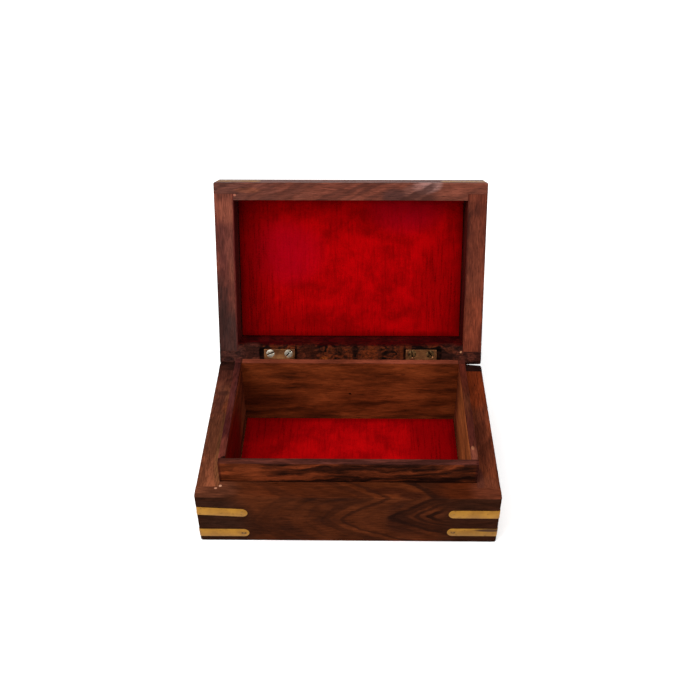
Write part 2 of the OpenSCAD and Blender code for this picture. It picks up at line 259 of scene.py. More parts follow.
class Paint:
    """The nodes of one material."""

    def __init__(self, name):
        self.material = bpy.data.materials.new(name)
        self.material.use_nodes = True
        self.tree = self.material.node_tree
        self.tree.nodes.clear()

    def node(self, kind, settings=None, inputs=None, out=0):
        node = self.tree.nodes.new(kind)
        for key, value in (settings or {}).items():
            if key == "stops":
                ramp = node.color_ramp
                while len(ramp.elements) > 1:
                    ramp.elements.remove(ramp.elements[-1])
                for i, (at, shade) in enumerate(value):
                    stop = ramp.elements[0] if i == 0 else ramp.elements.new(at)
                    stop.position = at
                    stop.color = (*shade, 1)
            else:
                setattr(node, key, value)
        for key, value in (inputs or {}).items():
            socket = node.inputs[key]
            if isinstance(value, Value):
                self.tree.links.new(value.socket, socket)
            elif isinstance(value, tuple) and len(value) == 3 and len(socket.default_value) == 4:
                socket.default_value = (*value, 1)
            else:
                socket.default_value = value
        return Value(self, node.outputs[out])

    def mix(self, share, first, second):
        """first where share is 0, second where it is 1."""
        return self.node("ShaderNodeMix", {"data_type": "RGBA"}, {0: share, 6: first, 7: second}, 2)

    def noise(self, at, scale=1.0, detail=3.0, rough=0.5, warp=0.0, out=0):
        return self.node("ShaderNodeTexNoise", {"noise_dimensions": "3D"},
                         {"Vector": at, "Scale": scale, "Detail": detail, "Roughness": rough, "Distortion": warp}, out)

    def ease(self, value, low, high, to_low=0.0, to_high=1.0):
        return self.node("ShaderNodeMapRange", {"interpolation_type": "SMOOTHSTEP"},
                         {"Value": value, "From Min": low, "From Max": high, "To Min": to_low, "To Max": to_high})

    def larger(self, first, second):
        return self.node("ShaderNodeMath", {"operation": "MAXIMUM"}, {0: first, 1: second})

    def parts(self, vector):
        node = self.node("ShaderNodeSeparateXYZ", None, {0: vector}).socket.node
        return [Value(self, s) for s in node.outputs]

    def vector(self, x, y, z):
        return self.node("ShaderNodeCombineXYZ", None, {0: x, 1: y, 2: z})

    def stretched(self, vector, x, y, z):
        return self.node("ShaderNodeVectorMath", {"operation": "MULTIPLY"}, {0: vector, 1: (x, y, z)})

    def scaled(self, colour, amount):
        """A colour made lighter or darker."""
        return self.node("ShaderNodeVectorMath", {"operation": "SCALE"}, {0: colour, 3: amount})

    def moved(self, vector, other):
        return self.node("ShaderNodeVectorMath", {"operation": "ADD"}, {0: vector, 1: other})

    def near(self, x, y, z, centre, reach, soft):
        """1 round a point, fading to 0 at its reach along each axis."""
        dx, dy, dz = [(at - middle) / half for at, middle, half in zip((x, y, z), centre, reach)]
        far = dx ** 2.0 + dy ** 2.0 + dz ** 2.0
        return self.ease(far, soft, 1.0, 1.0, 0.0)

    def place(self, lid=False, turn=0.0):
        """Place on the shut box in millimetres, turned so that X runs along the grain."""
        spin = Euler((OPEN if lid else 0.0, 0.0, turn), "XYZ")
        shift = Vector((0, 0, 0))
        if lid:
            shift = Matrix.Rotation(turn, 3, "Z") @ (AXIS - SHUTTING @ AXIS) / MM
        where = self.node("ShaderNodeTexCoord", None, None, 3)
        return self.node("ShaderNodeMapping", {"vector_type": "POINT"},
                         {"Vector": where, "Location": shift, "Rotation": spin, "Scale": (1 / MM,) * 3})

    def finish(self, colour, rough, bump=None, height=0.0, distance=0.0, **constants):
        inputs = {"Base Color": colour, "Roughness": rough}
        if bump is not None:
            inputs["Normal"] = self.node("ShaderNodeBump", None,
                                         {"Strength": height, "Distance": distance, "Height": bump})
        inputs.update({key.replace("_", " "): value for key, value in constants.items()})
        shader = self.node("ShaderNodeBsdfPrincipled", None, inputs)
        out = self.tree.nodes.new("ShaderNodeOutputMaterial")
        self.tree.links.new(shader.socket, out.inputs[0])
        return self.material


def tone(red, green, blue):
    """A colour given as it looks on screen, 0 to 255."""
    def channel(c):
        c = c / 255
        return c / 12.92 if c <= 0.04045 else ((c + 0.055) / 1.055) ** 2.4
    return (channel(red), channel(green), channel(blue))


# ---------------------------------------------------------------- finishes

def timber(name, light, mid, dark, pith, lean, lid=False, turn=0.0, rings=0.2, contrast=0.6, bands=(),
           patches=(), seed=0.0, burl=0.0, streaks=0.6, point=2.0, shine=0.004, hair=0.45):
    """Oiled rosewood. The rings run round a pith line that starts at pith (y, z) and leans by lean for each mm
    along the grain. A low point makes the rings pointed. bands are dark rings as (radius, width, strength), which
    fade out towards the right end. patches are (centre, reach, tone, strength) on the shut box."""
    p = Paint(name)
    here = p.place(lid, turn)
    at = p.moved(here, (seed * 37.0, seed * 5.0, 0.0))
    x, y, z = p.parts(here)
    bend, ripple = 7.0 + 24.0 * burl, 1.8 + 9.0 * burl
    _, sy, sz = p.parts(p.noise(p.stretched(at, 0.03, 0.06, 0.06), 1.0, 2.0, 0.5, 0.0, 1))
    _, ry, rz = p.parts(p.noise(p.stretched(at, 0.16, 0.3, 0.3), 1.0, 2.0, 0.5, 0.0, 1))
    yy = y - pith[0] - lean[0] * x + (sy - 0.5) * bend + (ry - 0.5) * ripple
    zz = z - pith[1] - lean[1] * x + (sz - 0.5) * bend + (rz - 0.5) * ripple
    radius = (abs(yy) ** point + abs(zz) ** point) ** (1 / point)
    year = p.vector(radius * rings, x * (0.02 + 0.05 * burl), seed * 3.1)
    growth = p.ease(p.noise(year, 1.0, 4.0, 0.6), 0.36, 0.66)
    fibre = p.noise(p.stretched(at, 0.055, 1.1, 1.1), 1.0, 4.0, 0.65)
    fine = p.noise(p.stretched(at, 0.16, 2.1, 2.1), 1.0, 3.0, 0.7)
    pores = p.ease(p.noise(p.stretched(at, 0.26, 2.2, 2.2), 1.0, 2.0, 0.55), 0.61, 0.70)
    cloud = p.noise(p.stretched(at, 0.035, 0.09, 0.09), 1.0, 3.0, 0.5)
    share = (growth * contrast + (fibre - 0.5) * streaks + p.ease(cloud, 0.3, 0.7) * 0.4
             + (0.22 - contrast * 0.5))
    colour = p.node("ShaderNodeValToRGB", {"stops": [(0.0, dark), (0.42, mid), (0.95, light)]}, {0: share})
    bx, by, bz = p.parts(p.place(lid)) if turn else (x, y, z)
    grain = p.ease(share, 0.1, 0.9, 0.72, 1.28)
    for centre, reach, paint, strength in patches:
        spot = p.near(bx, by, bz, centre, reach, 0.25) * p.ease(fibre + cloud, 0.75, 1.15, 0.7, 1.0) * strength
        colour = p.mix(spot, colour, p.scaled(tone(*paint), grain))
    if burl:
        fleck = p.ease(p.noise(p.stretched(at, 0.5, 0.9, 0.9), 1.0, 4.0, 0.65, 1.2), 0.48, 0.6)
        colour = p.mix(fleck * burl * 0.65, colour, dark)
    hairs = p.ease(p.noise(p.stretched(at, 0.11, 1.7, 1.7), 1.0, 3.0, 0.7), 0.52, 0.64)
    colour = p.mix(hairs * hair, colour, p.scaled(colour, 0.45))
    colour = p.mix(pores * 0.6, colour, p.scaled(colour, 0.25))
    colour = p.scaled(colour, p.ease(fine, 0.36, 0.66, 0.92, 1.55))
    if bands:
        line = 0.0
        for where, width, strength in bands:
            line = p.larger(line, p.ease(abs(radius - where) / width, 0.45, 1.15, strength, 0.0))
        fade = p.ease(cloud + fibre, 0.7, 1.15, 0.65, 1.0) * p.ease(x, 44.0, 53.0, 1.0, 0.0)
        colour = p.mix(line * fade, colour, dark)
    rough = p.ease(fibre, 0.2, 0.8, 0.45, 0.59) + pores * 0.2
    relief = fine * 0.5 + fibre * 0.6 - pores * 0.9
    return p.finish(colour, rough, relief, 0.35, 0.12 * MM, Specular_IOR_Level=shine)


def brass(name, bright, dull, wear_and_painted_shade, lid=False, scuffs=()):
    """Sanded sheet brass: fine scratches, dull patches and darker wear."""
    p = Paint(name)
    at = p.place(lid)
    x, y, z = p.parts(at)
    scratch = p.noise(p.stretched(at, 0.35, 0.35, 6.0), 1.0, 3.0, 0.6)
    blotch = p.noise(at, 0.16, 3.0, 0.55)
    grime = p.ease(p.noise(at, 0.55, 4.0, 0.65), 0.56, 0.74)
    colour = p.mix(p.ease(blotch, 0.32, 0.68), dull, bright)
    colour = p.mix(p.ease(scratch, 0.4, 0.75, 0.0, 0.35), colour, bright)
    colour = p.mix(grime * 0.45, colour, wear_and_painted_shade)
    for centre, reach, strength in scuffs:
        colour = p.mix(p.near(x, y, z, centre, reach, 0.2) * strength, colour, wear_and_painted_shade)
    rough = p.ease(blotch + scratch * 0.5, 0.4, 1.0, 0.36, 0.52) + grime * 0.15
    return p.finish(colour, rough, scratch + blotch * 0.6, 0.25, 0.05 * MM, Metallic=0.85)


def steel(name, bright, dark, slot, lid=False):
    """A plated screw with lighter blotches, darker in its slot below the level of its head."""
    p = Paint(name)
    at = p.place(lid)
    z = p.parts(at)[2]
    blotch = p.noise(at, 0.7, 3.0, 0.5)
    rim = AXIS.z / MM + (LEAF_GAP if lid else -LEAF_GAP) / MM
    depth = z - rim if lid else rim - z
    colour = p.mix(p.ease(blotch, 0.36, 0.66), dark, bright)
    colour = p.mix(p.ease(depth, 0.12, 0.3), colour, slot)
    return p.finish(colour, p.ease(blotch, 0.3, 0.7, 0.45, 0.3), blotch, 0.2, 0.05 * MM, Metallic=0.85)


def velvet(name, deep, full, cool, edge, lid=False, painted_shades=(), tints=(), ribs=0.0):
    """Crimson velvet with a fine, lightly brushed pile. edge holds the low and high corner of the cloth.
    The shade spots are darker places near the walls, painted shade; tints are places where the pile lies bluer; both
    are (centre, reach, strength)."""
    p = Paint(name)
    at = p.place(lid)
    x, y, z = p.parts(at)
    nap = p.noise(at, 0.07, 3.0, 0.6, 0.3)
    brushed = p.noise(p.stretched(at, 0.9, 0.16, 0.5), 1.0, 4.0, 0.6)
    crumbs = p.noise(at, 1.5, 3.0, 0.75)
    specks = p.ease(p.noise(at, 0.95, 2.0, 0.5), 0.60, 0.74)
    colour = p.mix(p.ease(nap * 0.5 + brushed * 0.2 + crumbs * 0.3, 0.38, 0.62), deep, full)
    for centre, reach, strength in tints:
        spot = p.near(x, y, z, centre, reach, 0.0) * p.ease(brushed, 0.3, 0.6, 0.6, 1.0) * strength
        colour = p.mix(spot, colour, cool)
    threads = p.ease(p.noise(p.stretched(at, 1.1, 0.05, 0.5), 1.0, 2.0, 0.6), 0.5, 0.66) * p.ease(crumbs, 0.4, 0.6)
    # Painted shade: the cloth is darkened at the shade spots near the walls, and its dark threads and specks grow with
    # it.
    wear_and_painted_shade = 0.0
    for centre, reach, strength in painted_shades:
        wear_and_painted_shade = p.larger(wear_and_painted_shade, p.near(x, y, z, centre, reach, 0.0) * strength)
    colour = p.mix(wear_and_painted_shade * p.ease(nap + crumbs, 0.75, 1.15, 0.55, 1.0), colour, deep)
    colour = p.mix((threads * ribs + specks * 0.5) * (0.35 + wear_and_painted_shade), colour, tuple(c * 0.42 for c in deep))
    # Painted shade along the cloth's edges, where it meets the walls.
    low, high = [corner / MM for corner in edge]
    inside = 1.0
    for step_in in (x - low.x, high.x - x, y - low.y, high.y - y):
        inside = p.ease(step_in + (nap - 0.5) * 3.0, 0.2, 4.5) * inside
    colour = p.mix((1.0 - inside) * 0.5, colour, tuple(c * 0.4 for c in deep))
    return p.finish(colour, 0.95, crumbs + brushed * 0.6 + nap * 0.5, 0.5, 0.25 * MM, Specular_IOR_Level=0.0,
                    Sheen_Weight=0.3, Sheen_Roughness=0.5, Sheen_Tint=(1.0, 0.004, 0.012, 1.0))


def plain(name, colour, rough):
    """Card or another dull stuff, a little uneven in colour."""
    p = Paint(name)
    grain = p.noise(p.place(), 0.8, 3.0, 0.6)
    uneven = p.mix(p.ease(grain, 0.3, 0.7, 0.0, 0.4), colour, tuple(c * 0.6 for c in colour))
    return p.finish(uneven, rough, grain, 0.2, 0.1 * MM)


# ---------------------------------------------------------------- colours of the wood, brass and cloth

CROSS = -math.pi / 2  # grain that runs from front to back
CROWN_BANDS = [
    (44.5, 3.0, 0.4), (29.9, 1.0, 0.4), (26.5, 1.0, 0.25), (15.4, 1.3, 0.85), (13.4, 1.7, 0.55), (10.4, 0.8, 0.7),
    (7.4, 1.0, 0.9)]
HOOK_BANDS = [(30.8, 0.8, 0.45), (26.6, 0.7, 0.6)]
FRONT_WOOD = timber(
    "front_wood", tone(78, 36, 17), tone(55, 24, 11), tone(23, 11, 8), (-27.05, 17.5), (-0.42, 0.06), point=1.35,
    bands=CROWN_BANDS + HOOK_BANDS, rings=0.3, contrast=0.22, streaks=0.4, hair=0.3, shine=0.0,
    patches=[
        ((74, -52, 14), (34, 20, 40), (37, 19, 12), 0.95), ((-74, -52, 12), (32, 20, 34), (34, 19, 13), 0.95),
        ((25, -52, 16), (7, 4, 9), (36, 16, 11), 0.5), ((30, -52, 17), (14, 4, 17), (46, 21, 13), 0.4),
        ((0, -47, 33.3), (66, 12, 0.9), (74, 31, 11), 0.5), ((20, -47.5, 33.2), (13, 3, 1.0), (40, 15, 8), 0.75),
        ((32, -50.5, 33.2), (9, 3, 1.0), (38, 15, 8), 0.8), ((55, -47, 33.2), (18, 10, 1.0), (70, 26, 8), 0.8),
        ((-20, -47, 33.2), (40, 10, 1.0), (60, 23, 9), 0.4), ((72, -47, 33.2), (14, 12, 1.0), (76, 35, 21), 0.9),
        ((-72, -47, 33.2), (20, 12, 1.0), (80, 42, 27), 0.9),
        ((-63.8, -44.8, 33), (1.0, 0.8, 1), (190, 140, 112), 0.9),
        ((-65.9, -46.4, 33), (0.9, 0.7, 1), (170, 118, 92), 0.9), ((0, -52, 0.3), (50, 3, 1.2), (96, 46, 26), 0.7)])
BACK_WOOD = timber(
    "back_wood", tone(72, 34, 20), tone(44, 20, 13), tone(18, 8, 7), (20, -22), (0.05, 0.1), rings=0.24,
    contrast=0.8, seed=1.7, burl=0.3,
    patches=[
        ((0, 48, 33.2), (200, 8, 1.0), (26, 11, 9), 0.8)])
LEFT_WOOD = timber(
    "left_wood", tone(92, 50, 32), tone(68, 34, 23), tone(38, 17, 13), (40, -14), (0.06, -0.08), turn=CROSS,
    rings=0.22, contrast=0.9, seed=2.3, burl=0.25,
    patches=[
        ((-70, -28, 33), (16, 48, 12), (92, 49, 31), 0.9), ((-70, -50, 33), (14, 14, 10), (96, 51, 32), 0.8),
        ((-65, -14, 33), (5, 36, 6), (84, 52, 29), 0.75), ((-67, 14, 33), (4, 7, 5), (96, 46, 24), 0.6),
        ((-70, 44, 33), (16, 16, 9), (54, 24, 18), 0.8), ((-73, 22, 33), (5, 14, 8), (50, 24, 20), 0.5),
        ((-66, 31, 33), (2.2, 2.6, 4), (26, 12, 10), 0.85), ((-70, 25, 33), (4, 2.4, 4), (34, 17, 13), 0.6)])
RIGHT_WOOD = timber(
    "right_wood", tone(88, 41, 23), tone(66, 29, 17), tone(42, 17, 12), (-38, -18), (-0.05, 0.1), turn=CROSS,
    rings=0.26, contrast=0.65, seed=3.1, streaks=0.9,
    patches=[
        # (66.2, -40) and (66, 26) are dark strips beside the liner: painted shade in the gap between rim and liner.
        ((69, -14, 33), (6, 18, 6), (80, 36, 22), 0.6), ((66.2, -40, 33), (2.6, 12, 6), (40, 18, 17), 0.8),
        ((71, 34, 33), (9, 26, 6), (104, 40, 16), 0.85), ((73, -10, 33), (5, 34, 6), (84, 38, 23), 0.6),
        ((70, -47, 33), (9, 12, 6), (68, 33, 21), 0.6), ((66, 26, 33), (1.8, 4.5, 4), (30, 14, 10), 0.7)])
BACK_LINER_WOOD = timber(
    "back_liner_wood", tone(124, 57, 26), tone(93, 39, 16), tone(52, 20, 8), (20, 70), (0.03, 0.05), rings=0.2,
    contrast=0.45, seed=4.2, streaks=0.5,
    patches=[
        ((0, 38, 46.3), (200, 8, 0.8), (92, 42, 29), 0.9), ((-63.6, 38, 46.3), (2.9, 8, 0.9), (48, 20, 20), 0.95),
        ((63.6, 38, 46.3), (2.9, 8, 0.9), (56, 22, 17), 0.95), ((-61, 38, 46.3), (0.7, 8, 0.9), (16, 7, 6), 0.8),
        ((61, 38, 46.3), (0.6, 8, 0.9), (30, 12, 9), 0.7), ((30, 36, 38), (1.6, 3, 0.8), (50, 18, 9), 0.6),
        # (-50, 36, 20) darkens the lower left of the inner face: painted shade cast by the left liner.
        ((-50, 36, 20), (34, 6, 9), (62, 22, 9), 0.5)])
FRONT_LINER_WOOD = timber(
    "front_liner_wood", tone(96, 41, 20), tone(60, 24, 11), tone(26, 10, 6), (20, 70), (0.03, 0.05), rings=0.5,
    contrast=0.9, seed=4.9, streaks=0.85,
    patches=[
        ((-60, -42, 40), (24, 5, 12), (98, 43, 20), 0.75), ((0, -40, 46.3), (200, 8, 0.9), (57, 27, 22), 0.95),
        ((64.5, -40, 40), (1.6, 6, 16), (46, 17, 13), 0.9), ((-64.5, -40, 40), (1.6, 6, 16), (46, 17, 13), 0.8),
        ((45, -42, 36), (22, 4, 1.6), (22, 9, 6), 0.8), ((0, -42, 33.2), (200, 3, 0.9), (24, 10, 6), 0.7)])
SIDE_LINER_WOOD = timber(
    "side_liner_wood", tone(112, 54, 32), tone(82, 34, 18), tone(44, 15, 9), (30, -30), (0.02, 0.04), turn=CROSS,
    rings=0.25, contrast=0.5, seed=5.6,
    patches=[
        # The first patch paints the right liner's inner face golden: painted light on the side the light falls on. The
        # second paints the left liner's inner face deep red: painted shade with red reflected from the velvet.
        ((61, -22, 32), (9, 60, 40), (132, 72, 37), 0.8), ((-61, -22, 22), (9, 46, 32), (82, 5, 3), 1.0),
        ((-63, 0, 46.6), (14, 90, 1.4), (46, 19, 20), 0.9), ((63, 4, 46.4), (14, 80, 1.9), (52, 20, 15), 1.0),
        ((-63, -36, 46.6), (6, 16, 2), (84, 38, 29), 0.85),
        # (-61.4, -38.2) and (-61.4, 36) are near black spots in the inner corners where the liners meet: painted shade
        # in the gaps there.
        ((-61.4, -38.2, 46.2), (2.4, 1.5, 2.5), (10, 4, 3), 1.0),
        ((-61.4, 36, 46.2), (1.6, 1.2, 1.5), (16, 7, 6), 0.8), ((63, -38, 46), (3.5, 10, 2), (96, 50, 37), 0.75),
        # (62.5, -30.5) lightens the chipped front corner of the right liner: partly the bare wood of the chip, partly
        # a painted highlight along its edge.
        ((62.5, -30.5, 46.2), (0.9, 1.8, 1.2), (128, 82, 58), 0.5),
        ((63.4, 26, 46.4), (5, 20, 2), (70, 25, 15), 0.6)])
LID_FRONT_WOOD = timber(
    "lid_front_wood", tone(96, 53, 42), tone(80, 40, 29), tone(50, 26, 21), (-27.05, 17.5), (-0.42, 0.06),
    lid=True, point=1.3, bands=CROWN_BANDS, rings=0.3, contrast=0.45, streaks=0.5, seed=6.4, shine=0.05,
    patches=[
        ((-70, -48, 33), (16, 12, 6), (72, 41, 34), 0.85), ((64, -47, 33), (24, 14, 5), (98, 51, 38), 0.8),
        # (45, -51.5), (41, -50) and (35, -47) are a painted highlight: a grey sheen running diagonally across the
        # rail.
        ((0, -47, 33), (26, 14, 5), (92, 46, 34), 0.6), ((45, -51.5, 33), (7, 5, 5), (136, 102, 96), 0.65),
        ((41, -50, 33), (8, 5, 5), (124, 88, 82), 0.6), ((35, -47, 33), (8, 5, 5), (100, 64, 56), 0.5),
        ((-52, -48, 33), (14, 12, 5), (74, 40, 32), 0.6), ((24, -45, 33), (8, 5, 5), (60, 36, 33), 0.75),
        ((-57, -48, 33), (9, 1.8, 4), (100, 54, 36), 0.6), ((-64.4, -45.4, 33), (1.0, 0.9, 2), (140, 84, 66), 0.9)])
LID_BACK_WOOD = timber(
    "lid_back_wood", tone(86, 35, 15), tone(55, 23, 13), tone(14, 7, 6), (48, 46), (0.02, 0.02), lid=True,
    rings=0.34, contrast=1.2, seed=7.7, burl=1.0,
    patches=[
        ((-70, 46, 33), (11, 10, 7), (50, 29, 26), 0.85), ((70, 46, 33), (11, 10, 7), (58, 28, 22), 0.85),
        # (0, 40.1, 43) paints the rail's inner face dark red: painted shade in the recess with red reflected from the
        # velvet.
        ((0, 40.1, 43), (200, 1.8, 16), (50, 2, 4), 1.0), ((-15, 50, 33), (4, 3, 4), (118, 54, 18), 0.85),
        ((64.2, 44.6, 33), (0.8, 0.8, 2), (150, 104, 74), 0.9), ((-57, 46, 33), (8, 10, 7), (60, 30, 24), 0.75),
        ((-24, 46, 33), (8, 8, 5), (66, 27, 16), 0.6), ((57, 46, 33), (7, 10, 7), (54, 26, 20), 0.6),
        ((-51.6, 46, 33.6), (1.8, 7, 3), (13, 6, 5), 0.9), ((-31.6, 46, 33.6), (1.3, 7, 3), (13, 6, 5), 0.9),
        ((51.6, 46, 33.6), (1.8, 7, 3), (13, 6, 5), 0.9), ((31.6, 46, 33.6), (1.3, 7, 3), (13, 6, 5), 0.9),
        ((3, 46, 33), (2, 8, 4), (14, 7, 6), 0.8), ((-6, 44, 33), (1.6, 5, 4), (16, 8, 6), 0.7)])
LID_LEFT_WOOD = timber(
    "lid_left_wood", tone(98, 51, 38), tone(75, 36, 29), tone(46, 25, 22), (60, 70), (0.05, 0.05), lid=True,
    turn=CROSS, rings=0.2, contrast=0.6, seed=8.2, shine=0.03,
    patches=[
        ((-70, -46, 33), (12, 20, 8), (96, 50, 37), 0.7), ((-70, -18, 33), (12, 14, 8), (70, 34, 29), 0.6),
        # (-64.9, 0, 43) paints the rail's inner face dark red: painted shade in the recess with red reflected from the
        # velvet.
        ((-71, 42, 33), (14, 29, 10), (38, 24, 22), 0.95), ((-64.9, 0, 43), (2.0, 110, 17), (60, 13, 12), 0.95),
        ((-72, -6, 33), (3, 9, 4), (62, 28, 25), 0.6)])
LID_RIGHT_WOOD = timber(
    "lid_right_wood", tone(96, 46, 31), tone(75, 33, 22), tone(50, 21, 15), (-70, 20), (0.08, 0.05), lid=True,
    turn=CROSS, rings=0.3, contrast=0.7, seed=9.5, shine=0.03,
    patches=[
        # (64.9, 0, 43) paints the rail's inner face dark red: painted shade in the recess with red reflected from the
        # velvet.
        ((64.9, 0, 43), (2.0, 110, 17), (46, 8, 7), 1.0), ((70, 30, 33), (9, 24, 6), (92, 38, 22), 0.5)])
LID_TOP_WOOD = timber(
    "lid_top_wood", tone(92, 45, 25), tone(66, 30, 16), tone(36, 16, 10), (8, 22), (-0.12, 0.1), lid=True,
    rings=0.3, contrast=0.7, streaks=0.4, seed=10.3, hair=0.35)
PANEL_WOOD = timber(
    "panel_wood", tone(120, 76, 44), tone(92, 54, 30), tone(58, 32, 18), (10, -30), (0.1, 0.05), rings=0.12,
    seed=11.8)
STRAP_BRASS = brass(
    "strap_brass", tone(154, 108, 34), tone(126, 84, 24), tone(60, 34, 12),
    scuffs=[
        ((72, -52, 9.4), (10, 3, 1.4), 1.0), ((53.4, -52, 7.5), (1.5, 3, 0.9), 1.0),
        ((-53.2, -52, 6.1), (1.8, 3, 1.0), 1.0), ((64, -52, 7), (16, 3, 3), 0.2)])
LID_STRAP_BRASS = brass("lid_strap_brass", tone(154, 108, 34), tone(126, 84, 24), tone(60, 34, 12), lid=True)
HINGE_BRASS = brass("hinge_brass", tone(156, 104, 62), tone(108, 62, 38), tone(60, 34, 20))
LID_HINGE_BRASS = brass("lid_hinge_brass", tone(156, 104, 62), tone(108, 62, 38), tone(60, 34, 20), lid=True)
PIN_BRASS = brass(
    "pin_brass", tone(142, 100, 38), tone(112, 76, 28), tone(18, 10, 6),
    scuffs=[
        ((0, -52, 7), (60, 8, 3), 1.0)])
# The left hinge's lid screws are painted near white: a painted glint on plated steel.
GLINT_STEEL = steel("glint_steel", tone(255, 250, 232), tone(172, 152, 126), tone(44, 30, 20), lid=True)
DULL_STEEL = steel("dull_steel", tone(166, 126, 78), tone(58, 38, 22), tone(10, 6, 4), lid=True)
BASE_STEEL = steel("base_steel", tone(190, 176, 150), tone(124, 106, 84), tone(34, 24, 16))
# Its lighter, bluish blotches are a painted highlight on the brad's head.
BRAD_IRON = steel("brad_iron", tone(64, 52, 56), tone(8, 5, 5), tone(8, 5, 5))
CARD = plain("lining_card", tone(120, 92, 66), 0.9)
BASE_VELVET = velvet(
    "base_velvet_cloth", tone(108, 1, 3), tone(152, 3, 5), tone(128, 2, 12), ribs=0.9, edge=span("base_velvet"),
    # These darker places by the left, right and back walls are painted shade.
    painted_shades=[
        ((-48, 28, 4.8), (26, 16, 5), 0.8), ((50, 10, 4.8), (22, 40, 5), 0.9), ((0, 36, 4.8), (90, 6, 5), 0.6)])
LID_VELVET = velvet(
    "lid_velvet_cloth", tone(112, 1, 2), tone(157, 1, 4), tone(140, 1, 16), lid=True, ribs=1.0,
    edge=shut_span("lid_velvet"),
    # These darker places by the walls of the recess are painted shade.
    painted_shades=[
        ((-62, 0, 50), (22, 70, 9), 0.7), ((56, 8, 50), (22, 44, 9), 0.6), ((-40, 34, 50), (30, 20, 9), 0.6),
        ((0, 42, 50), (90, 9, 9), 0.6)],
    tints=[
        ((32, -38, 50), (28, 20, 9), 0.9), ((-40, -10, 50), (30, 24, 9), 0.8)])


# ---------------------------------------------------------------- boards

CORNER, FOOT, RIM, JOINT, LID_ROUND = 1.2 * MM, 1.1 * MM, 0.45 * MM, 0.14 * MM, 2.4 * MM
GROOVE = 1.5 * MM + 0.3 * MM  # the knuckles and the room round them
TONGUE = span("base_left_board")[0].y - span("base_front_board")[0].y
LID_SHIFT = 0.9 * MM  # the lid's side rails sit a little nearer its front
LINER_EASE, BRAD_PROUD = 0.2 * MM, 0.15 * MM


def along(axis, **level):
    """A test for edges that run along an axis at the given levels of the other axes."""
    def test(a, b):
        for i, key in enumerate("xyz"):
            if (key == axis) != (abs(a[i] - b[i]) > TINY):
                return False
            levels = level.get(key, a[i])
            if min(abs(a[i] - one) for one in (levels if isinstance(levels, tuple) else (levels,))) >= NEAR:
                return False
        return True
    return test


def long_board(name, low, high, inner, tongue, back=False, corner=CORNER):
    """A front or back board whose ends are rabbeted for the side boards. inner is the side boards' inner face in X."""
    face = high.y if back else low.y
    seat = face - tongue if back else face + tongue
    piece = slab(name, (low.x, min(face, seat), low.z), (high.x, max(face, seat), high.z))
    edit(piece)
    for side in (-1, 1):
        bpy.ops.mesh.select_all(action="SELECT")
        bpy.ops.mesh.bisect(plane_co=(side * inner, 0, 0), plane_no=(1, 0, 0))
    inward = -1 if back else 1
    mark(piece, "FACE", lambda f: f.normal.y * inward > 0.9 and abs(f.calc_center_median().x) < inner)
    reach = (low.y if back else high.y) - seat
    bpy.ops.mesh.extrude_region_move(TRANSFORM_OT_translate={"value": (0, reach, 0)})
    leave()
    round_edges(piece, along("z", x=(low.x, high.x), y=face), corner, 5)
    return piece


def ease_face(piece, face, low, high, foot, rim):
    """Rounds the foot and the rim of a long board's outer face, and their bends round its corners."""
    def outer(p):
        return abs(p.y - face) < CORNER * 1.02 and (abs(p.y - face) < NEAR or abs(abs(p.x) - high.x) < CORNER * 1.02)

    def wanted(a, b, level):
        flat = abs(a.z - level) < NEAR and abs(b.z - level) < NEAR
        return flat and outer(a) and outer(b) and (abs(a.x - b.x) > 1e-7 or abs(a.y - b.y) > 1e-7)

    for level, width in ((low.z, foot), (high.z, rim)):
        if width:
            round_edges(piece, lambda a, b: wanted(a, b, level), width, 3)


def rebate():
    """Cutter for the bottom panel's rebate, open downwards."""
    play = Vector((1, 1, 1)) * 0.1 * MM
    low, high = span("bottom_panel")
    return slab("rebate", low - Vector((0, 0, 5 * MM)) - play, high + play)


def hinge_seats(name, upper):
    """Cutters for both hinges' mortises and knuckle grooves, in the shut box."""
    cutters = []
    for side, sign in (("left", -1), ("right", 1)):
        low, high = span(f"{side}_hinge_base_leaf")
        middle = (low.x + high.x) / 2
        half = (high.x - low.x) / 2 + 0.06 * MM
        ends = (middle + sign * (half + 2.8 * MM), middle - sign * (half + 0.9 * MM))
        west, east = min(ends), max(ends)
        floor = AXIS.z - LEAF_GAP - LEAF_THICK
        levels = (AXIS.z - 2 * MM, 2 * AXIS.z - floor) if upper else (floor, AXIS.z + 2 * MM)
        cutters.append(slab(f"{name}_{side}", (west, low.y - 0.4 * MM, levels[0]), (east, high.y + 2 * MM, levels[1])))
        cutters.append(rod(f"{name}_groove_{side}", ((west + east) / 2, AXIS.y, AXIS.z), (1, 0, 0), GROOVE,
                           east - west, 40))
    return cutters


def back_bevel(piece, rim, down, left, right, end):
    """Planes the bevel along a back rim. left and right say how deep it is at the two ends of the back face.
    Near its right end it falls away a little more, to a depth of end."""
    edge, face = span("base_back_board")[1].xy
    start, turn = AXIS.y - 0.8 * MM, 67.5 * MM
    here = left + (right - left) * (turn + edge) / (2 * edge)
    cuts = (((0, start, 0), (-edge, face, left), (edge, face, right)),
            ((turn, start, 0), (turn, face, here), (edge, face, end)))
    for cut in cuts:
        a, b, c = [Vector((x, y, rim - down * depth)) for x, y, depth in cut]
        normal = (b - a).cross(c - a).normalized()
        plane_off(piece, a, normal if normal.z * down > 0 else -normal)


